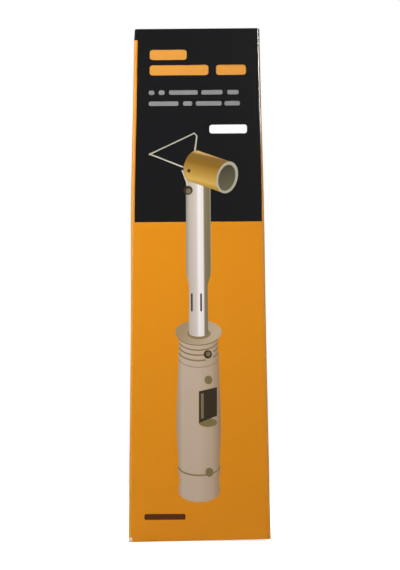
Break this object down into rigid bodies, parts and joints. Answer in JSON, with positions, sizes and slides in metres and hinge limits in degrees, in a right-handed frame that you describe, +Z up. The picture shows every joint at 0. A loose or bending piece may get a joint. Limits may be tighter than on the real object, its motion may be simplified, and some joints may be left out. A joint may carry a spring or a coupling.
{
  "type": "folding carton",
  "caption": "Tall printed paperboard carton with a glued side seam, folded dust flaps and a tuck-in lid at each end.",
  "frame": {"origin": "on the surface the carton stands on, under the middle of its base", "axes": "+Z up, the printed front panel faces -Y, +X to the right seen from the front"},
  "size_m": [0.07, 0.05, 0.275],
  "materials": {
    "orange_printed_board": "satin",
    "black_printed_board": "satin"
  },
  "bodies": {
    "carton": {"carton_body": "orange_printed_board"},
    "upper_lid": {"top_lid": "black_printed_board"},
    "lower_lid": {"bottom_lid": "orange_printed_board"}
  },
  "joints": [
    {"name": "upper_lid_crease", "type": "hinge", "parent": "carton", "child": "upper_lid", "pos_m": [0, 0.02459, 0.27459], "axis": [-1, 0, 0], "range_deg": [0, 175]},
    {"name": "lower_lid_crease", "type": "hinge", "parent": "carton", "child": "lower_lid", "pos_m": [0, 0.02459, 0.00041], "axis": [1, 0, 0], "range_deg": [0, 175]}
  ]
}
